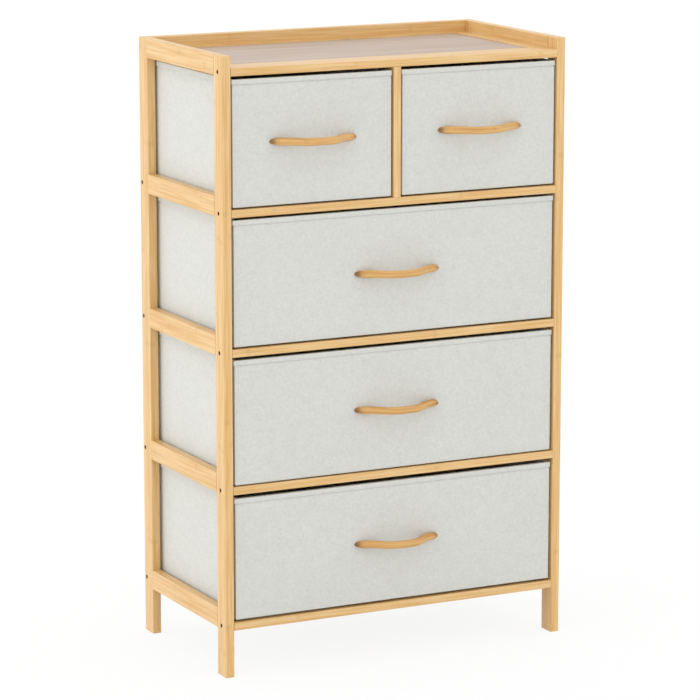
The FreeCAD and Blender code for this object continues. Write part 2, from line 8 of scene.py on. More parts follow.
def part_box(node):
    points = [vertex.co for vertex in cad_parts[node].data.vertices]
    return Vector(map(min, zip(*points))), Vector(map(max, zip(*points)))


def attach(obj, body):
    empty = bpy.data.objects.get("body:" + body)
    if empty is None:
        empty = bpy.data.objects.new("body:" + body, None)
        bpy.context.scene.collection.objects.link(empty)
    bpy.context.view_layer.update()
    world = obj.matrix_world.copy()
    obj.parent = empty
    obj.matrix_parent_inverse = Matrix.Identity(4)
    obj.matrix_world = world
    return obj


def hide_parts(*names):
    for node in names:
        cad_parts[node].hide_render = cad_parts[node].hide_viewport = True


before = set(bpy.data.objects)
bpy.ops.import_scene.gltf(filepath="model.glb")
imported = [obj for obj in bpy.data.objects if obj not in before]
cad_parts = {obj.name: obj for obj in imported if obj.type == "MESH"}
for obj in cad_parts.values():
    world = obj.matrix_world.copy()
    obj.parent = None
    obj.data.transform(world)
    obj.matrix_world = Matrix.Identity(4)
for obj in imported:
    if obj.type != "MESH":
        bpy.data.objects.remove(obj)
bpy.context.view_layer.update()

# Chest of drawers: an open frame of wooden bars with five stiffened cloth drawers.
# Metres, in the frame's own axes: X to the right, Y to the back, Z up.

MM = 0.001
UP, DOWN = Vector((0, 0, 1)), Vector((0, 0, -1))
QUARTER = math.pi / 2

# When places count as one, directions as along an axis, and edges as sharp or smooth
TINY = 1e-6
ALIGNED = 0.99
MOSTLY = 0.5
SHARP_ANGLE = 1.0
SMOOTH_ANGLE = math.radians(35)
ALL_SMOOTH = math.radians(180)

# How each drawer's cloth has given: rim settled, lower front edge lifted, sides tucked in
DRAWERS = {
    "bottom": (2.4 * MM, 1.8 * MM, 1.8 * MM),
    "lower": (1.1 * MM, 0.0 * MM, 1.8 * MM),
    "upper": (0.0 * MM, 0.9 * MM, 1.8 * MM),
    "top_left": (1.0 * MM, 0.6 * MM, 0.9 * MM),
    "top_right": (0.8 * MM, 0.6 * MM, 0.9 * MM),
}

# Cloth walls
WALL = 3 * MM
FLOOR = 2 * MM
CORNER = 1.3 * MM
CORNER_STEPS = 4
INNER_CORNER = 1.0 * MM
GRID = 18 * MM
RIPPLE = 0.35 * MM
RIPPLE_AT_BACK = 0.4
LIFT_REACH = 90 * MM
CREASE_HEIGHT = 2.6 * MM
CREASE_DEPTH = 1.4 * MM

# Hem, seams and stitches
HEM_HEIGHT = 7.3 * MM
HEM_PROUD = 0.9 * MM
HEM_COVER = 0.6 * MM
HEM_INSIDE = 1.7 * MM
HEM_CORNER_STEPS = 5
HEM_EDGE = 0.4 * MM
HEM_EDGE_STEPS = 3
SEAM_RADIUS = 0.5 * MM
SEAM_SIDES = 12
SEAM_START = 1.5 * CORNER
STITCH_PITCH = 4.6 * MM
STITCH_LENGTH = 3.3 * MM
STITCH_RADIUS = 0.44 * MM
STITCH_FLATNESS = 0.8
STITCH_SIDES = 8
STITCH_RINGS = 6
STITCH_RISE = 1.6 * MM
STITCH_SUNK = 0.35 * STITCH_RADIUS
STITCH_MARGIN = 2 * CORNER

# Bow handles: each bend's radius and the heading after it, from the grip's middle to a foot
GRIP_BEND = 90 * MM
GRIP_ANGLE = math.radians(10)
SHOULDER_BEND = 26 * MM
SHOULDER_ANGLE = math.radians(39)
ARM_LENGTH = 15.5 * MM
FOOT_BEND = 45 * MM
FOOT_ANGLE = math.radians(18)
FOOT_SEAT = 0.6 * MM
BOW_SIDES = 40
BEND_STEPS = 8
HALF_SLICES = 9
BOW_EASE = 1.2 * MM
BOW_EASE_STEPS = 3
BOW_EASE_ANGLE = math.radians(32)
END_TAPER = 3.0
END_SLANT = 0.35
END_SPARE = 0.2 * MM
END_ROUNDING = 0.998
END_STEPS = 16
# Where along the rod, as a share of its half length, the darkening towards its ends starts, and
# over how much it grows to full
DARK_ENDS_START = 0.86
DARK_ENDS_REACH = 0.1

# Screws
SCREW_SIDES = 24
SCREW_RIM_STEPS = 3
SCREW_SPACING = 20 * MM
SOCKET_SIDES = 6
SOCKET_RADIUS = 2.0 * MM
SOCKET_DEPTH = 2.4 * MM
FRAME_SCREW_RIM = 0.4 * MM
FRAME_SCREW_DEPTH = 7.2 * MM
HANDLE_SCREW_RIM = 1.0 * MM
HANDLE_SCREW_DEPTH = 3.4 * MM

# Camera, at the photograph's viewing angle
CAMERA_PLACE = (-2.37292, -4.67382, 1.4961)
CAMERA_YAW = math.radians(26.803)
CAMERA_PITCH = math.radians(11.305)
CAMERA_LENS = 179.59

# Studio: what the camera is shown, the light on the object, the paper floor and the lamp
WHITE = (1.0, 1.0, 1.0, 1.0)
SHOWN_LIGHT = 1.0
WORLD_LIGHT = 1.21
PAPER = (0.86, 0.86, 0.86, 1.0)
PAPER_GLOW = 0.88
PAPER_REACH = 30.0
LAMP_PLACE = Vector((-4.2, 0.2, 0.9))
LAMP_TARGET = Vector((0, 0, 0.45))
LAMP_SIZE = 2.6
LAMP_POWER = 32


def paint(red, green, blue):
    """A colour given as 0 to 255 screen values, as the linear values that shaders take."""
    def linear(part):
        part /= 255
        return part / 12.92 if part <= 0.04045 else ((part + 0.055) / 1.055) ** 2.4
    return (linear(red), linear(green), linear(blue), 1.0)


# Wood: pale and deep colour, colour of its marks, and share of a full coat of lacquer
FRAME_WOOD = (paint(231, 200, 147), paint(207, 157, 83), paint(168, 123, 70), 1.0)
HANDLE_WOOD = (paint(229, 189, 126), paint(186, 133, 75), paint(141, 94, 48), 0.25)
# The colour that the handle's rod darkens to towards its ends
HANDLE_DARK_ENDS = paint(90, 52, 24)
STRIP_WIDTH = 9.5 * MM
STRIP_DEPTH = 11 * MM
JOINT_SPACING = 310 * MM
JOINT_STAGGER = 7.3

# The other finishes: the two colours that each varies between, and the size of their threads
PANEL_COLOURS = (paint(201, 184, 170), paint(163, 141, 125))
CLOTH_COLOURS = (paint(215, 216, 211), paint(191, 192, 186))
SEWING_COLOURS = (paint(212, 212, 207), paint(199, 199, 194))
STEEL_COLOURS = (paint(52, 44, 38), paint(84, 74, 64))
FELT_COLOURS = (paint(194, 193, 188), paint(168, 167, 163))
THREAD_WIDTH = 0.85 * MM
TWIST_PITCH = 0.7 * MM


# Shader maths

class Flow:
    """A socket's value: sums on it add Math nodes."""

    def __init__(self, finish, socket):
        self.finish = finish
        self.socket = socket

    def math(self, operation, *values):
        return self.finish.add("ShaderNodeMath", {"operation": operation}, dict(enumerate(values)))

    def __add__(self, other):
        return self.math("ADD", self, other)

    def __sub__(self, other):
        return self.math("SUBTRACT", self, other)

    def __rsub__(self, other):
        return self.math("SUBTRACT", other, self)

    def __mul__(self, other):
        return self.math("MULTIPLY", self, other)

    def __truediv__(self, other):
        return self.math("DIVIDE", self, other)

    def __rtruediv__(self, other):
        return self.math("DIVIDE", other, self)

    __radd__ = __add__
    __rmul__ = __mul__

    def floor(self):
        return self.math("FLOOR", self)

    def fraction(self):
        return self.math("FRACT", self)

    def size(self):
        return self.math("ABSOLUTE", self)

    def sine(self):
        return self.math("SINE", self)

    def above(self, low, high):
        """0 up to low, 1 from high, with a smooth rise between."""
        return self.finish.add(
            "ShaderNodeMapRange",
            {"interpolation_type": "SMOOTHSTEP"},
            {"Value": self, "From Min": low, "From Max": high},
        )


class Finish:
    """The nodes of a material or of the world, with one output."""

    def __init__(self, owner, output="ShaderNodeOutputMaterial"):
        owner.use_nodes = True
        self.owner = owner
        self.tree = owner.node_tree
        self.tree.nodes.clear()
        self.output = self.tree.nodes.new(output)

    def add(self, kind, settings=None, inputs=None, output=0):
        """A node of a kind: its settings are set first, then its inputs' values or links."""
        node = self.tree.nodes.new(kind)
        for name, setting in (settings or {}).items():
            setattr(node, name, setting)
        for name, value in (inputs or {}).items():
            self.feed(node.inputs[name], value)
        return Flow(self, node.outputs[output])

    def feed(self, socket, value):
        """Gives a socket a value, or a link to where its value comes from."""
        if isinstance(value, Flow):
            self.tree.links.new(value.socket, socket)
        else:
            socket.default_value = value

    def place(self):
        """Object coordinates."""
        return self.add("ShaderNodeTexCoord", output=3)

    def parts(self, vector):
        """A vector's three values."""
        first = self.add("ShaderNodeSeparateXYZ", None, {0: vector})
        return [Flow(self, output) for output in first.socket.node.outputs]

    def joined(self, x, y, z):
        """A vector of three values."""
        return self.add("ShaderNodeCombineXYZ", None, {"X": x, "Y": y, "Z": z})

    def noise(self, vector, scale, detail=2.0, roughness=0.5):
        """Noise that is alike in all directions."""
        return self.add(
            "ShaderNodeTexNoise",
            {"noise_dimensions": "3D"},
            {"Vector": vector, "Scale": scale, "Detail": detail, "Roughness": roughness},
        )

    def streaked(self, vector, scales, detail=2.0, roughness=0.5):
        """Noise with a scale of its own along each axis."""
        multiply = {"operation": "MULTIPLY"}
        stretched = self.add("ShaderNodeVectorMath", multiply, {0: vector, 1: scales})
        return self.noise(stretched, 1.0, detail, roughness)

    def chance(self, vector):
        """A number from 0 to 1 for each whole-number place."""
        return self.add("ShaderNodeTexWhiteNoise", {"noise_dimensions": "3D"}, {"Vector": vector})

    def mix(self, share, first, second):
        """A colour between two."""
        settings = {"data_type": "RGBA", "clamp_factor": True}
        return self.add("ShaderNodeMix", settings, {0: share, 6: first, 7: second}, output=2)

    def bump(self, height, strength, distance):
        """A normal that follows a height."""
        return self.add(
            "ShaderNodeBump", None, {"Height": height, "Strength": strength, "Distance": distance}
        )

    def seen(self):
        """1 for what the camera sees, also by gloss or through glass, and 0 for light."""
        paths = self.add("ShaderNodeLightPath").socket.node.outputs
        rays = [Flow(self, paths[f"Is {ray} Ray"]) for ray in ("Camera", "Glossy", "Transmission")]
        return (rays[0] + rays[1] + rays[2]).above(0.0, 1.0)

    def surface(self, shader):
        """The owner, with a shader on its output."""
        self.feed(self.output.inputs["Surface"], shader)
        return self.owner

    def principled(self, **inputs):
        """The finished material; a name's underscores stand for spaces."""
        values = {name.replace("_", " "): value for name, value in inputs.items()}
        return self.surface(self.add("ShaderNodeBsdfPrincipled", None, values))


def new_finish(name):
    """An empty material."""
    return Finish(bpy.data.materials.new(name))


# Finishes

def bamboo(name, grain, pale, deep, mark, lacquer, dark_ends=None):
    """Glued bamboo strips with fibres, streaks, pores and the cane's joints.

    The grain is given as the axes that it runs along: one for a straight bar, two for a bent one.
    """
    wood = new_finish(name)
    vector = wood.place()
    axes = wood.parts(vector)
    crosswise = [axis for number, axis in enumerate(axes) if number not in grain]
    column = (crosswise[0] / STRIP_WIDTH).floor()
    row = (crosswise[-1] / STRIP_DEPTH).floor()
    tone = wood.chance(wood.joined(column, row, 0.0))

    def along_grain(across, along, detail):
        scales = [along if number in grain else across for number in range(3)]
        return wood.streaked(vector, scales, detail, roughness=0.55)

    bands = along_grain(across=130.0, along=1.6, detail=2.0)
    streaks = along_grain(across=430.0, along=11.0, detail=3.0)
    fibres = along_grain(across=1500.0, along=16.0, detail=2.0)
    pores = along_grain(across=4200.0, along=95.0, detail=1.0).above(0.66, 0.75)
    canes = axes[grain[0]] / JOINT_SPACING + tone * JOINT_STAGGER
    joints = 1 - (canes.fraction() - 0.5).size().above(0.002, 0.02)
    shade = (
        bands.above(0.32, 0.7) * 0.17
        + streaks.above(0.34, 0.66) * 0.5
        + fibres * 0.24
        + tone * 0.17
    )
    colour = wood.mix(shade, pale, deep)
    colour = wood.mix(joints * 0.16, colour, mark)
    colour = wood.mix(pores * 0.2, colour, mark)
    # Towards a rod's ends the colour darkens, by a mesh attribute that rises with the distance from
    # the rod's middle
    if dark_ends:
        cut = wood.add("ShaderNodeAttribute", {"attribute_name": "dark_ends"}, output=2)
        colour = wood.mix(cut * (0.5 + fibres * 0.4), colour, dark_ends)
    height = fibres * 0.5 + streaks * 0.4 - pores * 0.5 + joints * 0.3
    return wood.principled(
        Base_Color=colour,
        Roughness=0.34 + fibres * 0.14 + pores * 0.1,
        Specular_IOR_Level=0.5 * lacquer,
        Coat_Weight=0.25 * lacquer,
        Coat_Roughness=0.3,
        Normal=wood.bump(height, strength=0.35, distance=0.12 * MM),
    )


def printed_panel(name):
    """The top panel's matt grey-brown wood grain, which runs from left to right."""
    panel = new_finish(name)
    vector = panel.place()
    bend = panel.streaked(vector, (2.4, 12.0, 1.0))
    grain = panel.streaked(vector, (4.0, 210.0, 1.0), detail=5.0, roughness=0.62)
    lines = panel.streaked(vector, (16.0, 1300.0, 1.0))
    shade = grain.above(0.28, 0.74) * 0.62 + bend.above(0.3, 0.75) * 0.26 + lines * 0.16
    return panel.principled(
        Base_Color=panel.mix(shade, *PANEL_COLOURS),
        Roughness=0.46 + lines * 0.12,
        Specular_IOR_Level=0.4,
        Normal=panel.bump(lines + grain, strength=0.2, distance=0.1 * MM),
    )


def woven_cloth(name):
    """A plain weave of slightly uneven threads, on the cloth's own UV map in metres."""
    cloth = new_finish(name)
    vector = cloth.add("ShaderNodeUVMap", {"uv_map": "weave"})
    u, v, _ = cloth.parts(vector)
    across, down = u / THREAD_WIDTH, v / THREAD_WIDTH
    warp = (across.fraction() * math.pi).sine()
    weft = (down.fraction() * math.pi).sine()
    turn = ((across.floor() + down.floor()) * 0.5).fraction().above(0.2, 0.3)
    weave = warp * turn + weft * (1 - turn)
    thick_warp = cloth.streaked(vector, (1000.0, 90.0, 1.0)).above(0.4, 0.8)
    thick_weft = cloth.streaked(vector, (90.0, 1000.0, 1.0)).above(0.4, 0.8)
    slubs = thick_warp + thick_weft
    mottle = cloth.noise(vector, scale=210.0, detail=3.0, roughness=0.6).above(0.3, 0.72)
    blotch = cloth.noise(vector, scale=60.0).above(0.3, 0.72)
    cloud = cloth.noise(vector, scale=8.0).above(0.25, 0.8)
    shade = (1 - weave) * 0.3 + slubs * 0.22 + mottle * 0.3 + blotch * 0.12 + cloud * 0.1
    return cloth.principled(
        Base_Color=cloth.mix(shade, *CLOTH_COLOURS),
        Roughness=0.82 + mottle * 0.12,
        Specular_IOR_Level=0.22,
        Sheen_Weight=0.12,
        Sheen_Roughness=0.5,
        Normal=cloth.bump(weave + slubs * 0.7, strength=0.25, distance=0.14 * MM),
    )


def sewing_thread(name):
    """Two-ply thread in nearly the cloth's colours."""
    thread = new_finish(name)
    x, y, z = thread.parts(thread.place())
    twist = ((x + y + z) * (2 * math.pi / TWIST_PITCH)).sine() * 0.5 + 0.5
    return thread.principled(
        Base_Color=thread.mix(twist, *SEWING_COLOURS),
        Roughness=0.6 + twist * 0.2,
        Normal=thread.bump(twist, strength=0.25, distance=0.06 * MM),
    )


def dark_steel(name):
    """Dark zinc plating with a little wear."""
    steel = new_finish(name)
    patch = steel.noise(steel.place(), scale=700.0, detail=3.0)
    return steel.principled(
        Base_Color=steel.mix(patch.above(0.35, 0.7), *STEEL_COLOURS),
        Metallic=0.85,
        Roughness=0.38 + patch * 0.25,
        Normal=steel.bump(patch, strength=0.15, distance=0.1 * MM),
    )


def lining_felt(name):
    """Pressed felt over the loose board on a drawer's floor."""
    felt = new_finish(name)
    vector = felt.place()
    lint = felt.streaked(vector, (420.0, 520.0, 1.0), detail=4.0, roughness=0.7)
    dots = felt.noise(vector, scale=1100.0, detail=1.0)
    return felt.principled(
        Base_Color=felt.mix(lint.above(0.3, 0.7), *FELT_COLOURS),
        Roughness=0.85 + dots * 0.1,
        Specular_IOR_Level=0.2,
        Normal=felt.bump(lint + dots * 0.5, strength=0.35, distance=0.2 * MM),
    )


# Meshes and objects

def finished_mesh(name, bm):
    """The mesh of a bmesh, which is freed."""
    mesh = bpy.data.meshes.new(name)
    bm.to_mesh(mesh)
    bm.free()
    return mesh


def placed(name, data):
    """A new object in the scene."""
    thing = bpy.data.objects.new(name, data)
    bpy.context.scene.collection.objects.link(thing)
    return thing


def add_piece(name, bm, material, body, smooth_angle=SMOOTH_ANGLE):
    """A finished mesh as an object that rides on a body."""
    mesh = finished_mesh(name, bm)
    mesh.polygons.foreach_set("use_smooth", [True] * len(mesh.polygons))
    mesh.set_sharp_from_angle(angle=smooth_angle)
    mesh.materials.append(material)
    piece = placed(name, mesh)
    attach(piece, body)
    return piece


def unit(value):
    """A value kept between 0 and 1."""
    return min(max(value, 0), 1)


def middle_of(points):
    return sum(points, Vector()) / len(points)


def everything(bm):
    return bm.verts[:] + bm.edges[:] + bm.faces[:]


def block_between(bm, low, high):
    """A box between two corners."""
    size = high - low
    place = Matrix.Translation((low + high) / 2) @ Matrix.Diagonal((*size, 1.0))
    bmesh.ops.create_cube(bm, size=1.0, matrix=place)


def facing(bm, way):
    """The faces that look along a direction."""
    bm.normal_update()
    return [face for face in bm.faces if face.normal.dot(way) > ALIGNED]


def sharp_edges(bm):
    """The edges between faces that meet at about a right angle."""
    return [edge for edge in bm.edges if edge.is_manifold and edge.calc_face_angle() > SHARP_ANGLE]


def upright(edge):
    """Whether an edge runs mostly along Z."""
    first, second = (vert.co for vert in edge.verts)
    return abs(first.z - second.z) > MOSTLY * (first - second).length


def round_edges(bm, edges, radius, steps):
    bmesh.ops.bevel(
        bm, geom=edges, offset=radius, segments=steps, profile=0.5, affect="EDGES", material=-1
    )


def join_outlines(bm, way):
    """Takes off the two faces that look one way, and joins their outlines by a ring of faces.

    The smaller outline stands apart meanwhile, because two in one plane can pair up crosswise.
    """
    lids = sorted(facing(bm, way), key=lambda face: face.calc_area())
    inner = lids[0].verts[:]
    outlines = [edge for face in lids for edge in face.edges]
    bmesh.ops.delete(bm, geom=lids, context="FACES_ONLY")
    bmesh.ops.translate(bm, verts=inner, vec=way * WALL)
    bmesh.ops.bridge_loops(bm, edges=outlines)
    bmesh.ops.translate(bm, verts=inner, vec=-way * WALL)


def cut_across(bm, place, normal):
    """Cuts the whole mesh along a plane, and keeps both sides."""
    bmesh.ops.bisect_plane(bm, geom=everything(bm), dist=TINY, plane_co=place, plane_no=normal)


def pushed(bm, ring, way):
    """A ring of edges pulled out along a vector; gives the ring at its end."""
    grown = bmesh.ops.extrude_edge_only(bm, edges=ring)["geom"]
    verts = [part for part in grown if isinstance(part, bmesh.types.BMVert)]
    bmesh.ops.translate(bm, verts=verts, vec=way)
    edges = [part for part in grown if isinstance(part, bmesh.types.BMEdge)]
    return [edge for edge in edges if edge.verts[0] in verts and edge.verts[1] in verts]


# Cloth drawers

class Drawer:
    """One drawer: its box's low corner, its rim's high corner, and how its cloth has given.

    The hem's sides take half of the tuck, and the walls below take all of it.
    """

    def __init__(self, name, settled, lifted, tucked):
        self.name = name
        self.body = f"drawer_{name}"
        low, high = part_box(f"drawer_box_{name}")
        self.half_tuck = tucked / 2
        self.low = low + Vector((self.half_tuck, 0, 0))
        self.rim = high - Vector((self.half_tuck, 0, settled))
        self.lifted = lifted


def weave_map(bm):
    """Lays the cloth's UV map flat on each face, in metres."""
    layer = bm.loops.layers.uv.new("weave")
    bm.normal_update()
    for face in bm.faces:
        normal = [abs(part) for part in face.normal]
        drop = normal.index(max(normal))
        across, down = [axis for axis in range(3) if axis != drop]
        for loop in face.loops:
            loop[layer].uv = (loop.vert.co[across], loop.vert.co[down])


def slice_evenly(bm, low, high):
    """Cuts the whole mesh into a grid, so that its walls can bend."""
    for axis in range(3):
        count = round((high[axis] - low[axis]) / GRID)
        normal = Vector((0, 0, 0))
        normal[axis] = 1.0
        for step in range(1, count):
            place = Vector(low)
            place[axis] += (high[axis] - low[axis]) * step / count
            cut_across(bm, place, normal)


def ripple(bm, low, high, seed):
    """Soft unevenness of the cloth walls, none at their edges; the seed shifts the waves."""
    bm.normal_update()
    size = high - low
    for vert in bm.verts:
        away = vert.normal
        if abs(away.z) > MOSTLY:
            continue
        x, y, z = ((vert.co[axis] - low[axis]) / size[axis] for axis in range(3))
        along = x if abs(away.y) > MOSTLY else y
        edge = math.sin(math.pi * unit(along)) * math.sin(math.pi * unit(z))
        wave = math.sin(7.1 * along + 2.3 * seed) * math.sin(5.3 * z + seed)
        wave += 0.5 * math.sin(15.7 * along - 9.2 * z + 1.7 * seed)
        vert.co += away * RIPPLE * edge * wave * (RIPPLE_AT_BACK if away.y > MOSTLY else 1.0)


def crease(bm, low, high):
    """Pulls the walls in behind the hem, from a little below its lower edge."""
    hem_edge = high.z + HEM_COVER - HEM_HEIGHT
    for level in (hem_edge - CREASE_HEIGHT, hem_edge + HEM_EDGE):
        cut_across(bm, (0, 0, level), UP)
    size = high - low
    shrink = (1 - 2 * CREASE_DEPTH / size.x, 1 - 2 * CREASE_DEPTH / size.y, 1)
    behind = [vert for vert in bm.verts if vert.co.z > hem_edge]
    bmesh.ops.scale(bm, vec=shrink, space=Matrix.Translation(-(low + high) / 2), verts=behind)


def lift_front(bm, low, lifted):
    """Raises the lower front edge, less and less towards the back."""
    for vert in bm.verts:
        share = 1 - (vert.co.y - low.y) / LIFT_REACH
        if vert.co.z < low.z + CORNER + FLOOR and share > 0:
            vert.co.z += lifted * share


def drawer_walls(drawer, cloth, seed):
    """The cloth box: rounded walls and floor, open at the top, tucked in further than the hem."""
    inward = Vector((HEM_PROUD + drawer.half_tuck, HEM_PROUD, 0))
    low = drawer.low + inward
    high = drawer.rim - inward - Vector((0, 0, HEM_COVER))
    bm = bmesh.new()
    for corner, start, end in (
        (CORNER, low, high),
        (INNER_CORNER, low + Vector((WALL, WALL, FLOOR)), high - Vector((WALL, WALL, 0))),
    ):
        block_between(bm, start, end)
        top = {edge for face in facing(bm, UP) for edge in face.edges}
        edges = [edge for edge in sharp_edges(bm) if edge not in top]
        round_edges(bm, edges, corner, CORNER_STEPS)
    join_outlines(bm, UP)
    bmesh.ops.recalc_face_normals(bm, faces=bm.faces[:])
    slice_evenly(bm, low, high)
    ripple(bm, low, high, seed)
    crease(bm, low, high)
    lift_front(bm, low, drawer.lifted)
    weave_map(bm)
    piece = add_piece(f"cloth_box_{drawer.name}", bm, cloth, drawer.body)
    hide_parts(f"drawer_box_{drawer.name}")


def drawer_hem(drawer, cloth):
    """The folded hem: a band round the rim, proud of the walls, over them and a little way in."""
    rim = drawer.rim
    foot = Vector((drawer.low.x, drawer.low.y, rim.z - HEM_HEIGHT))
    thickness = HEM_PROUD + drawer.half_tuck + WALL + HEM_INSIDE
    inward = Vector((thickness, thickness, 0))
    bm = bmesh.new()
    for corner, start, end in (
        (CORNER + HEM_PROUD, foot, rim),
        (INNER_CORNER, foot + inward, rim - inward),
    ):
        block_between(bm, start, end)
        edges = [edge for edge in sharp_edges(bm) if upright(edge)]
        round_edges(bm, edges, corner, HEM_CORNER_STEPS)
    join_outlines(bm, UP)
    join_outlines(bm, DOWN)
    bmesh.ops.recalc_face_normals(bm, faces=bm.faces[:])
    round_edges(bm, sharp_edges(bm), HEM_EDGE, HEM_EDGE_STEPS)
    weave_map(bm)
    add_piece(f"cloth_hem_{drawer.name}", bm, cloth, drawer.body)


def stitch_shape(axis):
    """One stitch along X or Y, at the origin."""
    along = Matrix.Rotation(QUARTER, 4, "Y" if axis == 0 else "X")
    stretch = Vector((STITCH_RADIUS, STITCH_RADIUS, STITCH_RADIUS * STITCH_FLATNESS))
    stretch[axis] = STITCH_LENGTH / 2
    bm = bmesh.new()
    bmesh.ops.create_uvsphere(
        bm, u_segments=STITCH_SIDES, v_segments=STITCH_RINGS, radius=1.0,
        matrix=Matrix.Diagonal((*stretch, 1.0)) @ along,
    )
    return finished_mesh("stitch", bm)


def drawer_stitches(drawer, thread):
    """A row of stitches round the hem, just above its lower edge."""
    low, rim = drawer.low, drawer.rim
    bm = bmesh.new()
    for axis in (0, 1):
        span = rim[axis] - low[axis] - 2 * STITCH_MARGIN
        count = round(span / STITCH_PITCH)
        step = Vector((0, 0, 0))
        step[axis] = span / count
        for outside in (low[1 - axis] + STITCH_SUNK, rim[1 - axis] - STITCH_SUNK):
            place = Vector((0, 0, rim.z - HEM_HEIGHT + STITCH_RISE)) + step / 2
            place[axis] += low[axis] + STITCH_MARGIN
            place[1 - axis] = outside
            stitch = stitch_shape(axis)
            stitch.transform(Matrix.Translation(place))
            for _ in range(count):
                bm.from_mesh(stitch)
                stitch.transform(Matrix.Translation(step))
            bpy.data.meshes.remove(stitch)
    name = f"hem_stitches_{drawer.name}"
    add_piece(name, bm, thread, drawer.body, ALL_SMOOTH)


def drawer_seams(drawer, cloth):
    """The turned seams up the four corners, each in the middle of the corner's rounding."""
    low, rim = drawer.low, drawer.rim
    bottom = low.z + SEAM_START
    height = rim.z - HEM_HEIGHT / 2 - bottom
    shift = CORNER * (1 - math.sqrt(0.5)) + HEM_PROUD
    bm = bmesh.new()
    for x in (low.x + shift + drawer.half_tuck, rim.x - shift - drawer.half_tuck):
        for y in (low.y + shift, rim.y - shift):
            bmesh.ops.create_cone(
                bm, cap_ends=True, segments=SEAM_SIDES, radius1=SEAM_RADIUS, radius2=SEAM_RADIUS,
                depth=height, matrix=Matrix.Translation((x, y, bottom + height / 2)),
            )
    weave_map(bm)
    add_piece(f"corner_seams_{drawer.name}", bm, cloth, drawer.body)


# Bow handles

def heading(angle):
    """The direction at an angle from X towards Y."""
    return Vector((math.cos(angle), math.sin(angle), 0))


def bent(bm, ring, radius, first, last):
    """A ring of edges swung from one heading to another; gives the ring at its end."""
    points = {vert.co.copy().freeze() for edge in ring for vert in edge.verts}
    side = QUARTER if last > first else -QUARTER
    centre = middle_of(points) + radius * heading(first + side)
    spun = bmesh.ops.spin(
        bm, geom=ring, cent=centre, axis=UP, angle=last - first, steps=BEND_STEPS
    )
    return [part for part in spun["geom_last"] if isinstance(part, bmesh.types.BMEdge)]


def bow_rod(rise, half_length, thickness):
    """The bent rod about X = 0, in front of the plane Y = 0, with feet that run out along it."""
    bm = bmesh.new()
    turned = Matrix.Translation((0, -rise, 0)) @ Matrix.Rotation(QUARTER, 4, "Y")
    bmesh.ops.create_circle(bm, segments=BOW_SIDES, radius=thickness / 2, matrix=turned)
    ring = bent(bm, bm.edges[:], GRIP_BEND, 0, GRIP_ANGLE)
    ring = bent(bm, ring, SHOULDER_BEND, GRIP_ANGLE, SHOULDER_ANGLE)
    ring = pushed(bm, ring, ARM_LENGTH * heading(SHOULDER_ANGLE))
    ring = bent(bm, ring, FOOT_BEND, SHOULDER_ANGLE, FOOT_ANGLE)
    ring = pushed(bm, ring, half_length / 2 * heading(FOOT_ANGLE))
    bmesh.ops.holes_fill(bm, edges=ring)
    bmesh.ops.mirror(bm, geom=everything(bm), axis="X", merge_dist=TINY)
    bmesh.ops.remove_doubles(bm, verts=bm.verts[:], dist=TINY)
    bmesh.ops.recalc_face_normals(bm, faces=bm.faces[:])
    return bm


def bow_outline(rise, half_length, thickness):
    """A block from the seat forwards, its ends tapered as seen from the front and slanted back."""
    radius = thickness / 2 + END_SPARE
    depth = rise + thickness
    half = half_length / END_TAPER
    bm = bmesh.new()
    block_between(bm, Vector((-half, -depth, -radius)), Vector((half, FOOT_SEAT, radius)))
    ends = [edge for edge in bm.edges if abs(edge.verts[0].co.y - edge.verts[1].co.y) > rise]
    round_edges(bm, ends, radius * END_ROUNDING, END_STEPS)
    bmesh.ops.scale(bm, vec=(END_TAPER, 1, 1), verts=bm.verts[:])
    front = [vert for vert in bm.verts if vert.co.y < -rise]
    shrink = 1 - depth * END_SLANT / half_length
    bmesh.ops.scale(bm, vec=(shrink, 1, 1), verts=front)
    return bm


def bow_handle(name, wood):
    """The bent rod, kept to the outline and cut flat where it is seated on the drawer."""
    low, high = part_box(f"handle_{name}")
    thickness = high.z - low.z
    rise = high.y - low.y - thickness / 2
    half_length = (high.x - low.x) / 2
    measures = (rise, half_length, thickness)
    rod = placed("rod", finished_mesh("rod", bow_rod(*measures)))
    outline = placed("outline", finished_mesh("outline", bow_outline(*measures)))
    cut = rod.modifiers.new("ends", "BOOLEAN")
    cut.operation = "INTERSECT"
    cut.solver = "EXACT"
    cut.object = outline
    evaluated = rod.evaluated_get(bpy.context.evaluated_depsgraph_get())
    shaped = bpy.data.meshes.new_from_object(evaluated)
    bm = bmesh.new()
    bm.from_mesh(shaped)
    for mesh in (shaped, rod.data, outline.data):
        bpy.data.meshes.remove(mesh)
    for step in range(1 - HALF_SLICES, HALF_SLICES):
        cut_across(bm, (half_length * step / HALF_SLICES, 0, 0), (1, 0, 0))
    # How far each point darkens: nothing in the middle of the rod, rising to full near its ends
    layer = bm.verts.layers.float.new("dark_ends")
    for vert in bm.verts:
        vert[layer] = unit((abs(vert.co.x) / half_length - DARK_ENDS_START) / DARK_ENDS_REACH)
    place = Vector(((low.x + high.x) / 2, high.y, (low.z + high.z) / 2))
    bmesh.ops.translate(bm, verts=bm.verts[:], vec=place)
    piece = add_piece(f"bow_handle_{name}", bm, wood, f"drawer_{name}")
    ease = piece.modifiers.new("eased", "BEVEL")
    ease.width = BOW_EASE
    ease.segments = BOW_EASE_STEPS
    ease.limit_method = "ANGLE"
    ease.angle_limit = BOW_EASE_ANGLE
    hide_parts(f"handle_{name}")


# Screws

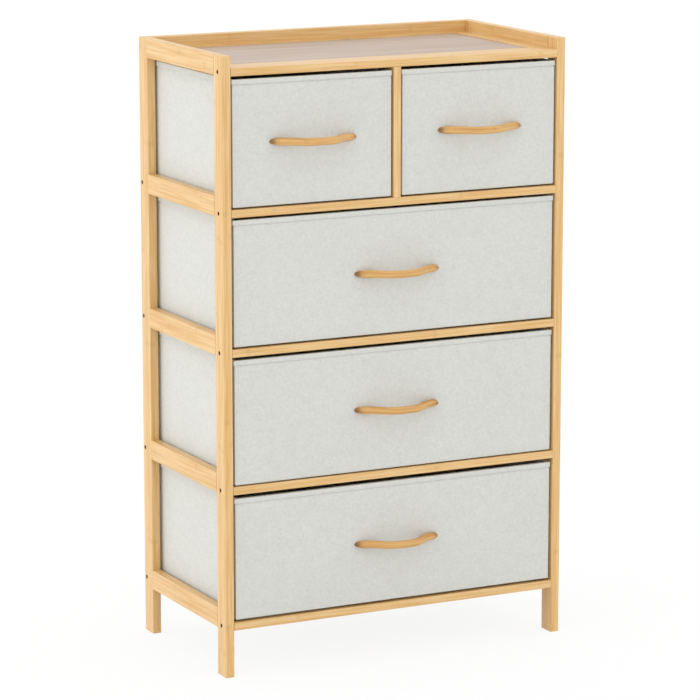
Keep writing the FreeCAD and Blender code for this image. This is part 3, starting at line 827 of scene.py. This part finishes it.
def screw_head(bm, place, radius, rounding, depth):
    """One head with a six-sided socket, made to look along Z and then put in its place."""
    head = bmesh.new()
    bmesh.ops.create_circle(head, segments=SCREW_SIDES, radius=radius)
    rim = head.edges[:]
    bmesh.ops.create_circle(head, segments=SOCKET_SIDES, radius=SOCKET_RADIUS)
    hexagon = [edge for edge in head.edges if edge not in rim]
    bmesh.ops.bridge_loops(head, edges=head.edges[:])
    pushed(head, rim, (0, 0, -depth))
    pushed(head, hexagon, (0, 0, -SOCKET_DEPTH))
    bmesh.ops.holes_fill(head, edges=[edge for edge in head.edges if edge.is_boundary])
    bmesh.ops.recalc_face_normals(head, faces=head.faces[:])
    round_edges(head, rim, rounding, SCREW_RIM_STEPS)
    bmesh.ops.transform(head, matrix=place, verts=head.verts[:])
    mesh = finished_mesh("head", head)
    bm.from_mesh(mesh)
    bpy.data.meshes.remove(mesh)


def frame_screw_heads(steel):
    """Frame screws with eased rims and six-sided sockets, in place of the plain rods."""
    low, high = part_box("frame_screws")
    rods = bmesh.new()
    rods.from_mesh(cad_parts["frame_screws"].data)
    bmesh.ops.remove_doubles(rods, verts=rods.verts[:], dist=TINY)
    ends = {}
    for face in rods.faces:
        centre = face.calc_center_median()
        on_left, on_right = (abs(centre.x - outside.x) < MM for outside in (low, high))
        if abs(face.normal.x) > ALIGNED and (on_left or on_right):
            screw = (on_left, round(centre.z / SCREW_SPACING), centre.y > 0)
            points = ends.setdefault(screw, set())
            points.update(vert.co.copy().freeze() for vert in face.verts)
    rods.free()
    bm = bmesh.new()
    for (on_left, _, _), points in ends.items():
        centre = middle_of(points)
        radius = max((point - centre).length for point in points)
        turn = Matrix.Rotation(-QUARTER if on_left else QUARTER, 4, "Y")
        place = Matrix.Translation(centre) @ turn
        screw_head(bm, place, radius, FRAME_SCREW_RIM, FRAME_SCREW_DEPTH)
    piece = add_piece("screw_heads", bm, steel, "frame")
    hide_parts("frame_screws")


def handle_screw_heads(name, steel):
    """The two heads inside a drawer's front."""
    low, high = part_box(f"handle_screws_{name}")
    radius = (high.z - low.z) / 2
    turn = Matrix.Rotation(-QUARTER, 4, "X")
    bm = bmesh.new()
    for x in (low.x + radius, high.x - radius):
        place = Matrix.Translation((x, high.y, low.z + radius)) @ turn
        screw_head(bm, place, radius, HANDLE_SCREW_RIM, HANDLE_SCREW_DEPTH)
    piece = add_piece(f"handle_screw_heads_{name}", bm, steel, f"drawer_{name}")
    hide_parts(f"handle_screws_{name}")


# The whole chest

def dress_frame():
    """Bamboo along each bar, the printed panel, and felt inside the drawers.

    A node of side runners holds two bars along Y, so its longest side isn't along their grain.
    """
    wood = [
        bamboo(f"bamboo_along_{axis}", [grain], *FRAME_WOOD) for grain, axis in enumerate("xyz")
    ]
    panel = printed_panel("printed_panel")
    felt = lining_felt("lining_felt")
    for name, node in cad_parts.items():
        low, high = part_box(name)
        size = high - low
        if name == "top_panel":
            material = panel
        elif name.startswith("base_board"):
            material = felt
        elif name.startswith("side_runners"):
            material = wood[1]
        else:
            material = wood[max(range(3), key=lambda axis: size[axis])]
        node.data.materials.clear()
        node.data.materials.append(material)


def dress_drawers(steel):
    """Each drawer's cloth, hem, stitches, seams, handle and screw heads."""
    cloth = woven_cloth("woven_cloth")
    thread = sewing_thread("sewing_thread")
    handle_wood = bamboo("handle_wood", [0, 1], *HANDLE_WOOD, HANDLE_DARK_ENDS)
    for seed, (name, given) in enumerate(DRAWERS.items(), 1):
        drawer = Drawer(name, *given)
        drawer_walls(drawer, cloth, seed)
        drawer_hem(drawer, cloth)
        drawer_stitches(drawer, thread)
        drawer_seams(drawer, cloth)
        bow_handle(name, handle_wood)
        handle_screw_heads(name, steel)


# Studio

def studio_floor():
    """A pale floor that the camera sees as nearly white and that keeps a faint shadow."""
    bm = bmesh.new()
    bmesh.ops.create_grid(bm, x_segments=1, y_segments=1, size=PAPER_REACH)
    floor = placed("studio_floor", finished_mesh("studio_floor", bm))
    paper = new_finish("studio_paper")
    matt = paper.add("ShaderNodeBsdfDiffuse", None, {"Color": PAPER})
    glow = paper.add("ShaderNodeEmission", None, {"Color": WHITE, "Strength": SHOWN_LIGHT})
    mixed = paper.add("ShaderNodeMixShader", None, {0: paper.seen() * PAPER_GLOW, 1: matt, 2: glow})
    floor.data.materials.append(paper.surface(mixed))


def studio_world():
    """Even white light from all round."""
    world = bpy.data.worlds.new("studio")
    room = Finish(world, "ShaderNodeOutputWorld")
    light = room.add("ShaderNodeBackground", None, {"Color": WHITE, "Strength": WORLD_LIGHT})
    shown = room.add("ShaderNodeBackground", None, {"Color": WHITE, "Strength": SHOWN_LIGHT})
    room.surface(room.add("ShaderNodeMixShader", None, {0: room.seen(), 1: light, 2: shown}))
    bpy.context.scene.world = world


def studio_lamp():
    """A large square light from the left."""
    data = bpy.data.lights.new("left_light", "AREA")
    data.shape = "SQUARE"
    data.size = LAMP_SIZE
    data.energy = LAMP_POWER
    lamp = placed("left_light", data)
    lamp.location = LAMP_PLACE
    lamp.rotation_mode = "QUATERNION"
    lamp.rotation_quaternion = (LAMP_TARGET - LAMP_PLACE).to_track_quat("-Z", "Y")


def studio_camera():
    """A long lens, turned to the right and tilted down a little."""
    data = bpy.data.cameras.new("camera")
    data.lens = CAMERA_LENS
    camera = placed("camera", data)
    camera.location = CAMERA_PLACE
    camera.rotation_euler = (QUARTER - CAMERA_PITCH, 0, -CAMERA_YAW)
    bpy.context.scene.camera = camera


screw_steel = dark_steel("dark_zinc")
dress_frame()
frame_screw_heads(screw_steel)
dress_drawers(screw_steel)
studio_floor()
studio_world()
studio_lamp()
studio_camera()
bpy.context.scene.view_settings.view_transform = "Standard"
